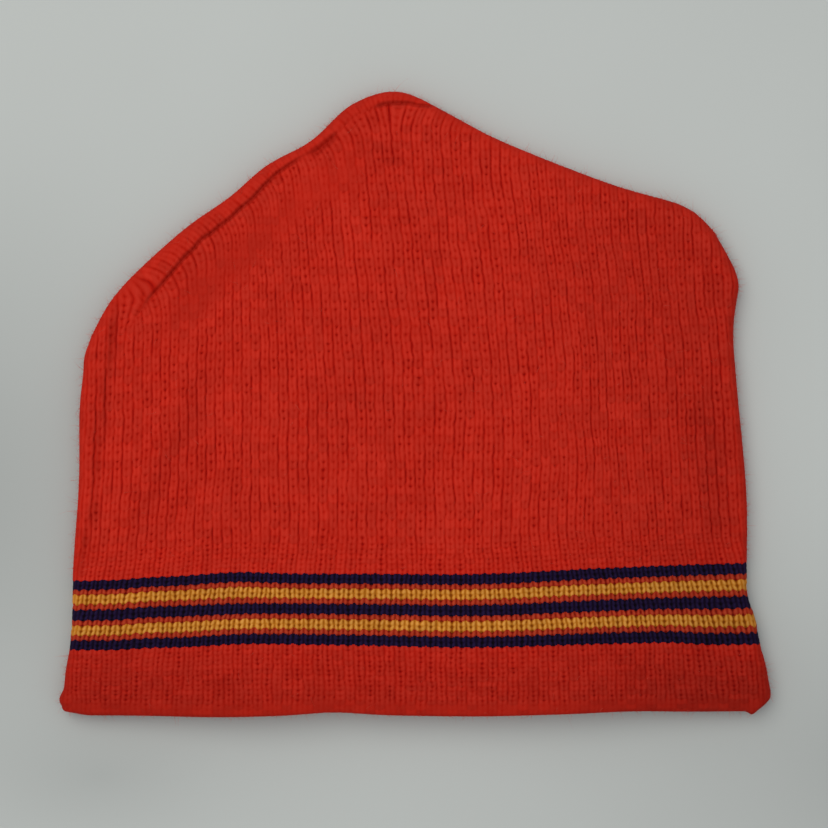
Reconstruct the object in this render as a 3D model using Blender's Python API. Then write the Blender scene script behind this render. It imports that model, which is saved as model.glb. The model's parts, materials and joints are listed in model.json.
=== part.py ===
"""A self-lined knit beanie, laid flat on its back with the mouth towards -Y and the crown towards +Y.

The hat is one knitted tube folded into itself at the hem, so every wall is two layers thick. Stripes of
other yarns run round it above the hem, and a curved overlocked seam closes the crown of each layer.
Each knitted piece is split into a front and a back half along the side folds, where the mouth opens.
The origin is the middle of the underside, on the surface that the hat lies on. Heights along the hat are
measured up from the hem. All lengths are in metres.
"""

import math

import bmesh
import bpy
import numpy as np

# Fabric and folds
KNIT = 0.0016
GAP = 0.0003
FOLD_RADIUS = 0.0039
PUFF = 0.0055
PUFF_REACH = 0.080
LINING_INSET = KNIT + 2 * GAP
LINING_CROWN_DROP = 0.018
CROWN_WALL_DROP = 1.25 * KNIT

# Heights along the hat, from the hem
COURSE = 0.00175
HEM_HEIGHT = 0.0241
HEM_INNER_HEIGHT = 0.016
# The stripes fan out: above FAN_START each row climbs to the right, more steeply the higher it is
FAN_START = 0.015
FAN_SLOPE_PER_HEIGHT = 0.7
STRIPES = (
    ("navy_stripe_lower", "navy", 2),
    ("orange_course_1", "orange", 1),
    ("yellow_stripe_lower", "yellow", 2),
    ("orange_course_2", "orange", 1),
    ("navy_stripe_middle", "navy", 2),
    ("orange_course_3", "orange", 1),
    ("yellow_stripe_upper", "yellow", 2),
    ("orange_course_4", "orange", 1),
    ("navy_stripe_upper", "navy", 2),
)
BAND_TOP = HEM_HEIGHT + COURSE * sum(courses for name, yarn, courses in STRIPES)

# Outline of the flat hat: each side from the hem to the shoulder, and the crown from left to right
LEFT_SIDE = (
    (-0.1208, 0.0),
    (-0.1232, 0.0065),
    (-0.1198, 0.020),
    (-0.1188, 0.048),
    (-0.1166, 0.080),
    (-0.1162, 0.109),
    (-0.1120, 0.131),
)
RIGHT_SIDE = (
    (0.1187, 0.0),
    (0.1232, 0.0065),
    (0.1200, 0.020),
    (0.1180, 0.031),
    (0.1146, 0.044),
    (0.1140, 0.075),
    (0.1110, 0.114),
    (0.1097, 0.134),
    (0.1110, 0.150),
    (0.1027, 0.1655),
)
CROWN = (
    (-0.1120, 0.131),
    (-0.1041, 0.1447),
    (-0.0805, 0.1669),
    (-0.0635, 0.1787),
    (-0.0520, 0.1892),
    (-0.0350, 0.1981),
    (-0.0243, 0.2092),
    (-0.0076, 0.2148),
    (0.0101, 0.2079),
    (0.0295, 0.1978),
    (0.0673, 0.1829),
    (0.0933, 0.1749),
    (0.1027, 0.1655),
)

# Crown seams, as distances in from the edge of the crown
SEAM_ALLOWANCE = (0.0032, 0.0070)
LINING_ALLOWANCE = (0.0082, 0.0116)
ALLOWANCE_THICKNESS = 0.0012
SEAM_THREAD_RADIUS = 0.00025
SEAM_STITCH = 0.007
SEAM_END_MARGIN = 0.020

# Steps of the meshes
CROWN_ACROSS_STEPS = 36
LINING_ACROSS_STEPS = 16
BAND_ACROSS_STEPS = 12
UP_STEPS = 12
FOLD_STEPS = 6
CURVE_STEPS = 8
SEAM_STEPS = 30

COLOURS = {
    "red": ((0.431, 0.017, 0.008), 0.85),
    "navy": ((0.011, 0.006, 0.022), 0.85),
    "yellow": ((0.450, 0.160, 0.018), 0.85),
    "orange": ((0.300, 0.032, 0.010), 0.85),
    "lining": ((0.364, 0.014, 0.006), 0.85),
    "thread": ((0.364, 0.014, 0.006), 0.60),
}


def smooth_line(anchors):
    """A Catmull-Rom curve through the anchors, as an array of points."""
    ends = np.array(anchors, float)
    ends = np.vstack((2 * ends[0] - ends[1], ends, 2 * ends[-1] - ends[-2]))
    points = []
    for before, start, end, after in zip(ends, ends[1:], ends[2:], ends[3:]):
        for t in np.arange(CURVE_STEPS) / CURVE_STEPS:
            points.append(
                start
                + 0.5 * t * (end - before)
                + t**2 * (before - 2.5 * start + 2 * end - 0.5 * after)
                + t**3 * (1.5 * (start - end) + 0.5 * (after - before))
            )
    points.append(ends[-2])
    return np.array(points)


LEFT_LINE = smooth_line(LEFT_SIDE)
RIGHT_LINE = smooth_line(RIGHT_SIDE)
CROWN_LINE = smooth_line(CROWN)


def side_x(line, y, inset):
    """Where a side fold is at height y, moved inwards by inset."""
    x = np.interp(y, line[:, 1], line[:, 0])
    return x - np.sign(x) * inset


def crown_y(x, drop):
    return np.interp(x, CROWN_LINE[:, 0], CROWN_LINE[:, 1]) - drop


def edge_line(inset, drop):
    """The folded and sewn edge of one layer, from below the hem up the left side and round to the right."""
    left = LEFT_LINE[LEFT_LINE[:, 1] <= LEFT_LINE[-1, 1] - drop] + (inset, 0)
    right = RIGHT_LINE[RIGHT_LINE[:, 1] <= RIGHT_LINE[-1, 1] - drop] - (inset, 0)
    crown_x = np.linspace(LEFT_LINE[-1, 0] + inset, RIGHT_LINE[-1, 0] - inset, 90)
    crown = np.column_stack((crown_x, crown_y(crown_x, drop)))
    below = (0, -0.05)
    return np.vstack((left[:1] + below, left, crown, right[::-1], right[:1] + below))


def distance_to(line, points):
    """The distance of each point to a line made of straight steps."""
    start = line[:-1]
    step = line[1:] - start
    along = ((points[:, None] - start) * step).sum(2) / np.maximum((step**2).sum(1), 1e-12)
    nearest = start + np.clip(along, 0, 1)[:, :, None] * step
    return np.sqrt(((points[:, None] - nearest) ** 2).sum(2)).min(1)


OUTER_EDGE = edge_line(0, 0)


def smoothstep(t):
    t = np.clip(t, 0, 1)
    return t * t * (3 - 2 * t)


def fold_height(distance, radius):
    """How far a face stands off the parting plane at a distance in from its rounded edge."""
    reach = np.clip(distance, 0, radius)
    return np.sqrt(radius**2 - (radius - reach) ** 2)


def place(points, inset, drop, half):
    """Lifts flat points onto the front (half 1) or the back (half -1) face of a layer."""
    distance = distance_to(edge_line(inset, drop), points)
    height = np.maximum(fold_height(distance, FOLD_RADIUS - inset), GAP / 2)
    puff = PUFF * smoothstep(distance_to(OUTER_EDGE, points) / PUFF_REACH) if half > 0 else 0
    return np.column_stack((points, FOLD_RADIUS + half * height + puff))


def fold_offsets():
    """Distances in from a folded edge that step evenly round its curve."""
    return [FOLD_RADIUS * (1 - math.cos(math.radians(a))) for a in (0, 30, 60, 90)]


def across_shares(steps):
    """Shares of the width, from 0 at the left fold to 1 at the right, close together at the folds."""
    width = RIGHT_SIDE[0][0] - LEFT_SIDE[0][0]
    near = [offset / width for offset in fold_offsets()]
    middle = np.linspace(near[-1], 1 - near[-1], steps)[1:-1]
    return np.array(near + list(middle) + [1 - share for share in reversed(near)])


def up_shares(height):
    """Shares of the way up to the crown, close together at the crown's edge."""
    near = [1 - offset / height for offset in reversed(fold_offsets())]
    return np.array(list(np.linspace(0, near[0], UP_STEPS)) + near[1:])


def row_at(level, inset, steps):
    """One row of points across the hat at a height above the hem, on the slope of the stripes there."""
    shares = across_shares(steps)
    left = side_x(LEFT_LINE, level, inset)
    right = side_x(RIGHT_LINE, level, inset)
    x = left + (right - left) * shares
    y = level + FAN_SLOPE_PER_HEIGHT * max(level - FAN_START, 0) * x
    left = side_x(LEFT_LINE, y, inset)
    right = side_x(RIGHT_LINE, y, inset)
    return np.column_stack((left + (right - left) * shares, y))


def crown_rows(level, inset, drop, steps):
    """Rows from a height above the hem up to the crown's edge, which they come to follow."""
    bottom = row_at(level, inset, steps)
    shares = across_shares(steps)
    left_end = (side_x(LEFT_LINE, LEFT_LINE[-1, 1] - drop, inset), LEFT_LINE[-1, 1] - drop)
    right_end = (side_x(RIGHT_LINE, RIGHT_LINE[-1, 1] - drop, inset), RIGHT_LINE[-1, 1] - drop)
    top_x = left_end[0] + (right_end[0] - left_end[0]) * shares
    top = np.column_stack((top_x, crown_y(top_x, drop)))
    top[0] = left_end
    top[-1] = right_end
    rows = []
    for up in up_shares(LEFT_LINE[-1, 1] - drop - level):
        left_y = bottom[0, 1] + (left_end[1] - bottom[0, 1]) * up
        right_y = bottom[-1, 1] + (right_end[1] - bottom[-1, 1]) * up
        left = np.array((side_x(LEFT_LINE, left_y, inset), left_y))
        right = np.array((side_x(RIGHT_LINE, right_y, inset), right_y))
        across = shares[:, None]
        straight = (1 - up) * bottom + up * top
        sides = (1 - across) * left + across * right
        corners = (1 - across) * straight[0] + across * straight[-1]
        rows.append(straight + sides - corners)
    return rows


def sheet(name, face, lining, collection, material):
    """A sheet of knit between two faces that are given as rows of points, closed by a rim round its edge."""
    wide, high = len(face[0]), len(face)
    mesh = bpy.data.meshes.new(name)
    block = bmesh.new()
    bmesh.ops.create_grid(block, x_segments=wide - 1, y_segments=high - 1, size=1)
    layer = bmesh.ops.extrude_face_region(block, geom=block.faces[:], use_keep_orig=True)
    copies = {item for item in layer["geom"] if isinstance(item, bmesh.types.BMVert)}
    for vert in block.verts:
        across = round((vert.co.x + 1) / 2 * (wide - 1))
        along = round((vert.co.y + 1) / 2 * (high - 1))
        vert.co = (lining if vert in copies else face)[along][across]
    bmesh.ops.recalc_face_normals(block, faces=block.faces)
    block.to_mesh(mesh)
    block.free()
    mesh.materials.append(material)
    mesh.shade_smooth()
    mesh.set_sharp_from_angle(angle=math.radians(50))
    obj = bpy.data.objects.new(name, mesh)
    collection.objects.link(obj)
    return obj


def upper_panel(name, half, level, inset, drop, steps, collection, material):
    """One layer of the hat from a height above the hem up to that layer's crown seam."""
    faces = []
    for depth, wall_drop in ((0, 0), (KNIT, CROWN_WALL_DROP)):
        rows = crown_rows(level + GAP / 2, inset + depth, drop + wall_drop, steps)
        faces.append([place(row, inset + depth, drop + wall_drop, half) for row in rows])
    return sheet(name, *faces, collection, material)


def band(name, half, paths, collection, material):
    """Courses that run from side fold to side fold. Each path gives one face, as heights and insets."""
    faces = []
    for path in paths:
        rows = [(row_at(y, inset, BAND_ACROSS_STEPS), inset) for y, inset in path]
        faces.append([place(row, inset, 0, half) for row, inset in rows])
    return sheet(name, *faces, collection, material)


def stripe(name, half, low, high, collection, material):
    """A few courses of one yarn."""
    paths = [[(low + GAP / 2, depth), (high - GAP / 2, depth)] for depth in (0, KNIT)]
    return band(name, half, paths, collection, material)


def hem_band(name, half, collection, material):
    """The red courses below the stripes, folded under at the mouth and running up inside as a second ply."""
    turn = KNIT + GAP / 2
    paths = []
    for radius in (turn, GAP / 2):
        path = [(HEM_INNER_HEIGHT - GAP / 2, turn + radius)]
        for angle in np.linspace(0, math.pi, FOLD_STEPS + 1):
            path.append((turn - radius * math.sin(angle), turn + radius * math.cos(angle)))
        path.append((HEM_HEIGHT / 2, turn - radius))
        path.append((HEM_HEIGHT - GAP / 2, turn - radius))
        paths.append(path)
    return band(name, half, paths, collection, material)


def crown_path(depth):
    """A line that follows the crown at a depth in from its edge."""
    x = np.linspace(CROWN[0][0] + SEAM_END_MARGIN, CROWN[-1][0] - SEAM_END_MARGIN, SEAM_STEPS)
    line = np.column_stack((x, crown_y(x, 0)))
    along = np.gradient(line, axis=0)
    along /= np.linalg.norm(along, axis=1)[:, None]
    inwards = np.column_stack((along[:, 1], -along[:, 0]))
    return line + depth * inwards


def seam_allowance(name, depths, collection, material):
    """The two raw edges of a crown seam, turned in and pressed together as one flat strip."""
    faces = []
    for z in (FOLD_RADIUS + ALLOWANCE_THICKNESS / 2, FOLD_RADIUS - ALLOWANCE_THICKNESS / 2):
        faces.append([[(x, y, z) for x, y in crown_path(depth)] for depth in depths])
    return sheet(name, *faces, collection, material)


def seam_thread(name, depths, collection, material):
    """The overlock thread, a zigzag that binds the raw edges of a seam allowance."""
    margin = 2 * SEAM_THREAD_RADIUS
    edges = [crown_path(depths[0] + margin), crown_path(depths[1] - margin)]
    lengths = [np.insert(np.cumsum(np.linalg.norm(np.diff(e, axis=0), axis=1)), 0, 0) for e in edges]
    stitches = 2 * int(lengths[0][-1] / SEAM_STITCH)
    z = FOLD_RADIUS + ALLOWANCE_THICKNESS / 2 + GAP + SEAM_THREAD_RADIUS
    curve = bpy.data.curves.new(name, "CURVE")
    curve.dimensions = "3D"
    spline = curve.splines.new("POLY")
    spline.points.add(stitches - 1)
    for number, point in enumerate(spline.points):
        edge, length = edges[number % 2], lengths[number % 2]
        along = length[-1] * number / (stitches - 1)
        x = np.interp(along, length, edge[:, 0])
        y = np.interp(along, length, edge[:, 1])
        point.co = (x, y, z, 1)
    curve.bevel_depth = SEAM_THREAD_RADIUS
    curve.bevel_resolution = 1
    curve.use_fill_caps = True
    curve.materials.append(material)
    obj = bpy.data.objects.new(name, curve)
    collection.objects.link(obj)
    return obj


def knit_material(name, colour, roughness):
    material = bpy.data.materials.new(name)
    material.use_nodes = True
    surface = material.node_tree.nodes["Principled BSDF"]
    surface.inputs["Base Color"].default_value = (*colour, 1)
    surface.inputs["Roughness"].default_value = roughness
    surface.inputs["Metallic"].default_value = 0
    return material


def half_hat(side, half, collection, materials):
    """All the knitted pieces of the front or the back of the hat."""
    hem_band(side + "_hem_band", half, collection, materials["red"])
    low = HEM_HEIGHT
    for name, yarn, courses in STRIPES:
        high = low + courses * COURSE
        stripe(f"{side}_{name}", half, low, high, collection, materials[yarn])
        low = high
    crown_shape = (BAND_TOP, 0, 0, CROWN_ACROSS_STEPS)
    upper_panel(side + "_crown_panel", half, *crown_shape, collection, materials["red"])
    lining_shape = (HEM_INNER_HEIGHT, LINING_INSET, LINING_CROWN_DROP, LINING_ACROSS_STEPS)
    upper_panel(side + "_lining", half, *lining_shape, collection, materials["lining"])


def put_in_place(collection):
    """Centres the hat on the origin, then hangs its front on the axis that the mouth opens about."""
    length = float(CROWN_LINE[:, 1].max())
    for obj in collection.objects:
        obj.location.y = -length / 2
    axis = bpy.data.objects.new("mouth_open_axis", None)
    axis.location = (0, length / 2 + GAP, FOLD_RADIUS)
    collection.objects.link(axis)
    bpy.context.view_layer.update()
    for obj in collection.objects:
        if obj.name.startswith("front_"):
            obj.parent = axis
            obj.matrix_parent_inverse = axis.matrix_world.inverted()


def build():
    for obj in list(bpy.data.objects):
        bpy.data.objects.remove(obj)
    beanie = bpy.data.collections.new("knit_beanie")
    bpy.context.scene.collection.children.link(beanie)
    materials = {}
    for name, (colour, roughness) in COLOURS.items():
        materials[name] = knit_material(name, colour, roughness)
    half_hat("front", 1, beanie, materials)
    half_hat("back", -1, beanie, materials)
    seam_allowance("crown_seam_allowance", SEAM_ALLOWANCE, beanie, materials["red"])
    seam_thread("crown_seam_thread", SEAM_ALLOWANCE, beanie, materials["thread"])
    seam_allowance("lining_seam_allowance", LINING_ALLOWANCE, beanie, materials["lining"])
    seam_thread("lining_seam_thread", LINING_ALLOWANCE, beanie, materials["thread"])
    put_in_place(beanie)


build()
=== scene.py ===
import json
import math
from collections import namedtuple

import bpy
import numpy as np
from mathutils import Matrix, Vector


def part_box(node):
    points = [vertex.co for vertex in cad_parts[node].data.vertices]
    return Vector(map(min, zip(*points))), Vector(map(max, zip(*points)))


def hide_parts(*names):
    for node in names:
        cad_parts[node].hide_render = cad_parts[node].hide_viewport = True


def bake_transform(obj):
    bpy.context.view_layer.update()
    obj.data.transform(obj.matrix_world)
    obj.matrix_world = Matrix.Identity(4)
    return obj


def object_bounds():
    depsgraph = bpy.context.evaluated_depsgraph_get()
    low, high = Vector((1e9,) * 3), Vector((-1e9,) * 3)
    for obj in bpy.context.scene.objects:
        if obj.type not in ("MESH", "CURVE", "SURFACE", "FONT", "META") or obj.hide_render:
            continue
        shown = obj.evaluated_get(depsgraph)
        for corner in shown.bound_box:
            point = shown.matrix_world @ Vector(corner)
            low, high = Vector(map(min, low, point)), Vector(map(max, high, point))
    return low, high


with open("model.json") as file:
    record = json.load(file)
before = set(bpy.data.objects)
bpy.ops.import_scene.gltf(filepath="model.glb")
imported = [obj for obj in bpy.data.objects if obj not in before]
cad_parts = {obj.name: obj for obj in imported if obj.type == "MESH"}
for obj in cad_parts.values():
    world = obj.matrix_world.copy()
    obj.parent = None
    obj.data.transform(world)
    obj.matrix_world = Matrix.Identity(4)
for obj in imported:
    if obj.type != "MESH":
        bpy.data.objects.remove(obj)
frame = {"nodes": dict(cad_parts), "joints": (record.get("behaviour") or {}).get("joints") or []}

# Looks of a self-lined knit beanie that lies flat. The fabric is modelled stitch by stitch as relief on fine
# grids that wrap round the side folds, the crown and the hem. Lengths are metres in the frame's axes: +Y is
# towards the crown and +Z is up. "Level" is the height above the hem.
#
# Two small tuples come up everywhere. A bump is (height, place of its middle, width). A fade is (start,
# length): it rises from 0 at its start to 1.

CAD_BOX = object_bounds()
LOW = np.array(CAD_BOX[0])
HIGH = np.array(CAD_BOX[1])
HEM = LOW[1]
FOLD = frame["joints"][0]["pos_m"][2]
RANDOM = np.random.default_rng(7)

# Fabric
SPACING = 0.00034
WALE = 0.0035
BODY_COURSE = 0.0029
PLY = 0.00175
RIB_START = 0.060
RIB_RELIEF = 0.00058
PLAIN_RELIEF = 0.00054
MEAN_RELIEF = 0.7


# ---------------- small functions


def smoothstep(t):
    t = np.clip(t, 0, 1)
    return t * t * (3 - 2 * t)


def faded(t, fade):
    start, length = fade
    return smoothstep((t - start) / length)


def bell(t):
    return np.exp(-t * t)


def bump(t, shape):
    height, middle, width = shape
    return height * bell((t - middle) / width)


def unit(vectors):
    return vectors / np.maximum(np.linalg.norm(vectors, axis=-1, keepdims=True), 1e-12)


def soft_noise(x, y, size, seed):
    """Smooth random heights between -1 and 1, with bumps about as wide as size."""
    lattice = np.random.default_rng(seed).uniform(-1, 1, (256, 256))
    u, v = x / size + 57.3, y / size + 31.7
    i, j = np.floor(u).astype(int), np.floor(v).astype(int)
    s, t = smoothstep(u - i), smoothstep(v - j)
    i, j, i1, j1 = i % 256, j % 256, (i + 1) % 256, (j + 1) % 256
    low = lattice[i, j] * (1 - s) + lattice[i1, j] * s
    high = lattice[i, j1] * (1 - s) + lattice[i1, j1] * s
    return low * (1 - t) + high * t


def noises(x, y, layers):
    """The sum of layers of soft noise, each (height, size of its bumps, seed)."""
    return sum(height * soft_noise(x, y, size, seed) for height, size, seed in layers)


RIDGE_END = 0.3


def ridge(x, y, start, end, width):
    """A soft ridge along a straight line, which fades out over the last share of it at each end."""
    start, end = np.array(start), np.array(end)
    along = end - start
    length = np.linalg.norm(along)
    along = along / length
    share = ((x - start[0]) * along[0] + (y - start[1]) * along[1]) / length
    aside = (x - start[0]) * along[1] - (y - start[1]) * along[0]
    return bell(aside / width) * smoothstep(share / RIDGE_END) * smoothstep((1 - share) / RIDGE_END)


# ---------------- outline of the flat hat, read from the CAD

# Both shoulders' places on Y, left and right, and the steps of the tables that the outline is kept in
SHOULDERS = (0.0236, 0.0581)
TABLE_STEP = 0.001
TABLE_START = 0.002
CROWN_POINTS = 230
CROWN_MARGIN = 0.0001
SMOOTHING = 0.004

# How far the soft fabric stands out over the CAD's outline. Bumps and fades of the sides are in level, but
# the left shoulder's are counted from the shoulder.
RIGHT_STANDS_OUT = 0.0004
RIGHT_TOP_STANDS_OUT = 0.0012
RIGHT_TOP_FADE = (0.135, 0.015)
RIGHT_BELLY = (0.0006, 0.075, 0.028)
RIGHT_SHOULDER_FADE = (0.080, 0.025)
RIGHT_HEM_FLARE = (0.0019, 0.0048, 0.0050)
LEFT_HEM_ROLL = (0.0017, 0.0044, 0.0028)
LEFT_SHOULDER = (0.0010, -0.0075, 0.0055)
CROWN_STANDS_OUT = 0.0004
PEAK = (0.0006, -0.002, 0.010)

# The lower edge: its slope, its waves, and how it is cut back at its ends
HEM_SLOPE = 0.0066
HEM_DROP = 0.0002
HEM_WAVES = (
    (0.0011, -0.028, 0.013),
    (-0.0004, -0.070, 0.016),
    (0.0006, 0.074, 0.016),
    (-0.0006, 0.022, 0.026),
)
HEM_CUT_RIGHT = 0.0034
HEM_CUT_RIGHT_FADE = (0.1172, 0.0065)
HEM_CUT_LEFT = 0.0012
HEM_CUT_LEFT_FADE = (0.112, 0.009)
HEM_LUMP = (0.0011, 0.1165, 0.0015)


def cad_edges():
    """Every edge of the CAD's front, seen from above, as pairs of points."""
    pairs = []
    for name, node in frame["nodes"].items():
        if name.startswith("front_"):
            points = np.zeros(len(node.data.vertices) * 3)
            node.data.vertices.foreach_get("co", points)
            ends = np.zeros(len(node.data.edges) * 2, int)
            node.data.edges.foreach_get("vertices", ends)
            pairs.append(points.reshape(-1, 3)[:, :2][ends.reshape(-1, 2)])
    return np.concatenate(pairs)


EDGES = cad_edges()


def extent(axis, place):
    """The lowest and highest place on the other axis, where the CAD's front crosses a line."""
    start, end = EDGES[:, 0], EDGES[:, 1]
    crossing = (start[:, axis] - place) * (end[:, axis] - place) < 0
    start, end = start[crossing], end[crossing]
    share = (place - start[:, axis]) / (end[:, axis] - start[:, axis])
    other = start[:, 1 - axis] + share * (end - start)[:, 1 - axis]
    return other.min(), other.max()


def smoothed(values, step):
    """A running mean, which rounds off the corners of the CAD's straight steps."""
    reach = max(int(SMOOTHING / step), 1)
    before = 2 * values[0] - values[reach:0:-1]
    after = 2 * values[-1] - values[-2:-reach - 2:-1]
    padded = np.concatenate((before, values, after))
    return np.convolve(padded, np.ones(2 * reach + 1) / (2 * reach + 1), mode="valid")


def right_bulge(level):
    """How far the soft fabric of the right side stands out over the CAD's outline."""
    top = RIGHT_TOP_STANDS_OUT * faded(level, RIGHT_TOP_FADE)
    return RIGHT_STANDS_OUT + top + bump(level, RIGHT_BELLY)


def crown_table():
    """The crown's edge from the left to the right shoulder."""
    x = np.linspace(LEFT_X[-1], RIGHT_X[-1], CROWN_POINTS)
    cad_x = x - right_bulge(SIDE_Y[1][-1] - HEM) * faded(x, RIGHT_SHOULDER_FADE)
    cad_x = np.clip(cad_x, cad_x[0] + CROWN_MARGIN, cad_x[-1] - CROWN_MARGIN)
    y = np.array([extent(0, place)[1] for place in cad_x])
    y += CROWN_STANDS_OUT + bump(x, PEAK)
    y[0], y[-1] = SHOULDERS
    return x, smoothed(y, x[1] - x[0])


SIDE_Y = [np.arange(HEM + TABLE_START, shoulder, TABLE_STEP) for shoulder in SHOULDERS]
LEFT_X = smoothed(np.array([extent(1, y)[0] for y in SIDE_Y[0]]), TABLE_STEP)
RIGHT_X = smoothed(np.array([extent(1, y)[1] for y in SIDE_Y[1]]), TABLE_STEP) + right_bulge(SIDE_Y[1] - HEM)
CROWN_X, CROWN_Y = crown_table()


def left_x(y):
    """The left side, with the bulge of the rolled hem at its foot and a rounded shoulder."""
    cad_x = np.interp(y, SIDE_Y[0], LEFT_X)
    return cad_x - bump(y - HEM, LEFT_HEM_ROLL) - bump(y - SHOULDERS[0], LEFT_SHOULDER)


def right_x(y):
    """The right side, where the hem flares out."""
    return np.interp(y, SIDE_Y[1], RIGHT_X) + bump(y - HEM, RIGHT_HEM_FLARE)


def crown_y(x):
    return np.interp(x, CROWN_X, CROWN_Y)


def hem_y(x):
    """The lower edge waves a little. Its left end is rounded, and its right end is cut off behind a lump."""
    cut = HEM_CUT_RIGHT * faded(x, HEM_CUT_RIGHT_FADE) + HEM_CUT_LEFT * faded(-x, HEM_CUT_LEFT_FADE)
    wave = sum(bump(x, shape) for shape in HEM_WAVES)
    return HEM + HEM_SLOPE * x - HEM_DROP + wave + cut - bump(x, HEM_LUMP)


CROWN_ALONG = unit(np.gradient(np.column_stack((CROWN_X, CROWN_Y)), axis=0))
CROWN_NORMAL = np.column_stack((CROWN_ALONG[:, 1], -CROWN_ALONG[:, 0]))
CHUNK = 20000
INWARDS_SHARE = 0.0005


def nearest_on_crown(points):
    """For each point: the distance in from the crown's edge, the nearest point there and the way inwards."""
    line = np.column_stack((CROWN_X, CROWN_Y))
    step = line[1:] - line[:-1]
    squared = (step**2).sum(1)
    foot = np.zeros_like(points)
    inwards = np.zeros_like(points)
    for first in range(0, len(points), CHUNK):
        chunk = points[first:first + CHUNK]
        away = chunk[:, None] - line[:-1]
        share = np.clip((away * step).sum(2) / squared, 0, 1)
        gap = ((away - share[:, :, None] * step) ** 2).sum(2)
        best = gap.argmin(1)
        part = share[np.arange(len(chunk)), best][:, None]
        foot[first:first + CHUNK] = line[best] + part * step[best]
        inwards[first:first + CHUNK] = CROWN_NORMAL[best] * (1 - part) + CROWN_NORMAL[best + 1] * part
    distance = np.linalg.norm(points - foot, axis=1)
    return distance, foot, unit(inwards * INWARDS_SHARE + (points - foot))


# ---------------- stitches

STRIPES = (
    ("navy_stripe_lower", 2),
    ("orange_course_1", 1),
    ("yellow_stripe_lower", 2),
    ("orange_course_2", 1),
    ("navy_stripe_middle", 2),
    ("orange_course_3", 1),
    ("yellow_stripe_upper", 2),
    ("orange_course_4", 1),
    ("navy_stripe_upper", 2),
)
BAND_COURSES = sum(count for name, count in STRIPES)
YELLOW_STARTS = [
    sum(count for name, count in STRIPES[:place])
    for place, stripe in enumerate(STRIPES)
    if stripe[0].startswith("yellow")
]

# Rows of stitches: above the hem they fan out to the right, and they bow and sag over the width
FAN_SLOPE_PER_HEIGHT = 0.7
FAN_START = 0.015
FAN_HEIGHT = 0.040
ROW_BOWS = ((0.0007, -0.058, 0.030), (-0.0010, 0.022, 0.030))
UPPER_ROW_BOW = (0.0008, -0.062, 0.014)
UPPER_ROW_FADE = (0.036, 0.01)
ROW_SAG = 0.0004
SIDE_SAG = 0.0010
LEFT_SAG_FADE = (0.055, 0.03)
RIGHT_SAG_FADE = (0.085, 0.02)
SAG_TOP_FADE = (-0.043, 0.018)
LEFT_END_SAG = 0.0007
LEFT_END_FADE = (0.090, 0.015)
HEM_ROWS_FADE = (0, 0.02)

# Columns of stitches: slopes per height, and where across the hat they hold
RIGHT_LEAN = -0.075
RIGHT_LEAN_FADE = (0.03, 0.075)
LEFT_LEAN = 0.035
LEFT_LEAN_FADE = (0.04, 0.075)
PEAK_LEAN = 0.11
PEAK_LEAN_START = 0.105
PEAK_LEAN_ROUNDING = 0.02
PEAK_LEAN_LEFT_FADE = (-0.075, 0.05)
PEAK_LEAN_RIGHT_FADE = (-0.10, 0.06)
WANDER = ((0.0007, 0.020, 11), (0.0003, 0.007, 12), (0.00024, 0.0023, 13))
DRAWN_IN = 0.045
DRAWN_IN_FADE = (0.015, 0.050)

# V-shaped stitches: how far their legs reach up past their centre, in courses
TOOTH = 0.28
YELLOW_TOOTH = 0.50
YELLOW_TOOTH_OFFSET = 0.2

# Depths in a stitch, as shares of its height. Reaches are in courses.
CENTRE_FLOOR = 0.60
EDGE_FLOOR = 0.52
CLEFT_DEPTH = 0.22
CLEFT_REACH = 3.2
GROOVE_DEPTH = 0.24
RIB_GROOVE_DEPTH = 0.21
GROOVE_REACH = 2.6
STRIPE_CENTRE_DEPTH = 0.28
STRIPE_EDGE_DEPTH = 0.22
TUCK_DEPTH = 0.22
PIT_DEPTH = 0.72
EDGE_PIT_DEPTH = 0.50
UNEVENNESS = ((0.11, 0.0014, 61), (0.08, 0.0045, 62))


def stripe_rows():
    """The level of the first striped course at the middle of the hat, and the height of a course."""
    low_box, high_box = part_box("front_navy_stripe_lower"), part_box("front_navy_stripe_upper")
    low_middle = (low_box[0].y + low_box[1].y) / 2
    high_middle = (high_box[0].y + high_box[1].y) / 2
    course = (high_middle - low_middle) / (BAND_COURSES - 2)
    return low_middle - course - HEM, course


STRIPE_START, COURSE = stripe_rows()


def course_number(x, level):
    """Courses counted from the lowest stripe. The rows fan out to the right, and bow over the width."""
    lift = FAN_SLOPE_PER_HEIGHT * np.clip(level - FAN_START, 0, FAN_HEIGHT) * x
    bow = sum(bump(x, shape) for shape in ROW_BOWS)
    bow += bump(x, UPPER_ROW_BOW) * faded(level, UPPER_ROW_FADE)
    sag = ROW_SAG + SIDE_SAG * faded(-x, LEFT_SAG_FADE) + SIDE_SAG * faded(x, RIGHT_SAG_FADE)
    sag = sag * faded(-level, SAG_TOP_FADE) + LEFT_END_SAG * faded(-x, LEFT_END_FADE)
    row = level - lift - (bow - sag) * faded(level, HEM_ROWS_FADE) - STRIPE_START
    plain = RIB_START - STRIPE_START
    return np.where(row < plain, row / COURSE, plain / COURSE + (row - plain) / BODY_COURSE)


def wale_number(x, level):
    """Wales counted across the hat. They draw in above the stripes, follow the sides and lean to the peak."""
    lean = RIGHT_LEAN * level * faded(x, RIGHT_LEAN_FADE)
    lean = lean + LEFT_LEAN * level * faded(-x, LEFT_LEAN_FADE)
    high = np.clip(level - PEAK_LEAN_START, 0, None)
    to_peak = PEAK_LEAN * high * high / (high + PEAK_LEAN_ROUNDING)
    lean = lean - to_peak * faded(x, PEAK_LEAN_LEFT_FADE) * faded(-x, PEAK_LEAN_RIGHT_FADE)
    drawn_in = 1 + DRAWN_IN * faded(level, DRAWN_IN_FADE)
    return (x * drawn_in - lean + noises(x, level, WANDER)) / WALE


STITCH_RANDOM = RANDOM.random((6, 128, 256))


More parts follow.
